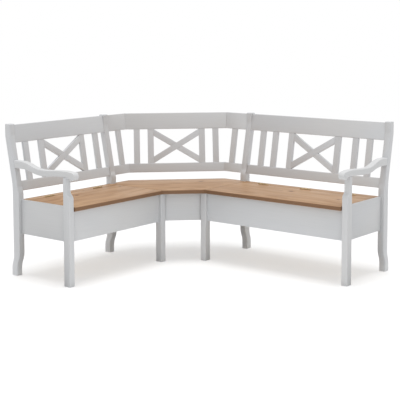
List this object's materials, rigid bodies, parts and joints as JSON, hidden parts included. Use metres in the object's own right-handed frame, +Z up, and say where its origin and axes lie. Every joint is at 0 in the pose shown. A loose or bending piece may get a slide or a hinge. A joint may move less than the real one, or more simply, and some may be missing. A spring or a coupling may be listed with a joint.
{
  "type": "corner storage bench",
  "caption": "L-shaped corner bench with a raked slatted and crossed back, scrolled arms and two hinged seats over storage chests.",
  "frame": {"origin": "on the floor at the middle of the bounding box", "axes": "+X along the right wing away from the corner, -Y along the left wing, +Z up"},
  "size_m": [1.762, 1.532, 0.908],
  "materials": {
    "white_paint": "satin white paint",
    "pine_seat": "oiled knotty pine",
    "inner_pine": "plain sawn pine",
    "hinge_steel": "zinc-plated steel"
  },
  "bodies": {
    "bench": {"corner_apron": "white_paint", "corner_cross_bar_falling": "white_paint", "corner_cross_bar_rising": "white_paint", "corner_left_lower_rail": "white_paint", "corner_left_top_rail": "white_paint", "corner_lower_rail": "white_paint", "corner_right_lower_rail": "white_paint", "corner_right_top_rail": "white_paint", "corner_seat": "pine_seat", "corner_seat_cleats": "inner_pine", "corner_seat_rails": "white_paint", "corner_slats": "white_paint", "corner_stiles": "white_paint", "corner_top_rail": "white_paint", "left_apron": "white_paint", "left_arm_post": "white_paint", "left_armrest": "white_paint", "left_back_panel": "white_paint", "left_chest_cleats": "inner_pine", "left_chest_floor": "inner_pine", "left_corner_leg": "white_paint", "left_cross_bar_falling": "white_paint", "left_cross_bar_rising": "white_paint", "left_divider": "white_paint", "left_end_panel": "white_paint", "left_end_post": "white_paint", "left_hinge_pins": "hinge_steel", "left_hinge_strip": "pine_seat", "left_junction_post": "white_paint", "left_lower_rail": "white_paint", "left_slats": "white_paint", "left_stiles": "white_paint", "left_strip_hinge_leaves": "hinge_steel", "left_top_rail": "white_paint", "right_apron": "white_paint", "right_arm_post": "white_paint", "right_armrest": "white_paint", "right_back_panel": "white_paint", "right_chest_cleats": "inner_pine", "right_chest_floor": "inner_pine", "right_corner_leg": "white_paint", "right_cross_bar_falling": "white_paint", "right_cross_bar_rising": "white_paint", "right_divider": "white_paint", "right_end_panel": "white_paint", "right_end_post": "white_paint", "right_hinge_pins": "hinge_steel", "right_hinge_strip": "pine_seat", "right_junction_post": "white_paint", "right_lower_rail": "white_paint", "right_slats": "white_paint", "right_stiles": "white_paint", "right_strip_hinge_leaves": "hinge_steel", "right_top_rail": "white_paint"},
    "left_lid": {"left_lid": "pine_seat", "left_lid_battens": "pine_seat", "left_lid_hinge_leaves": "hinge_steel"},
    "right_lid": {"right_lid": "pine_seat", "right_lid_battens": "pine_seat", "right_lid_hinge_leaves": "hinge_steel"}
  },
  "joints": [
    {"name": "left_lid_hinge", "type": "hinge", "parent": "bench", "child": "left_lid", "pos_m": [-0.73235, -0.345, 0.4618], "axis": [0, -1, 0], "range_deg": [0, 105]},
    {"name": "right_lid_hinge", "type": "hinge", "parent": "bench", "child": "right_lid", "pos_m": [0.345, 0.61735, 0.4618], "axis": [-1, 0, 0], "range_deg": [0, 105]}
  ]
}
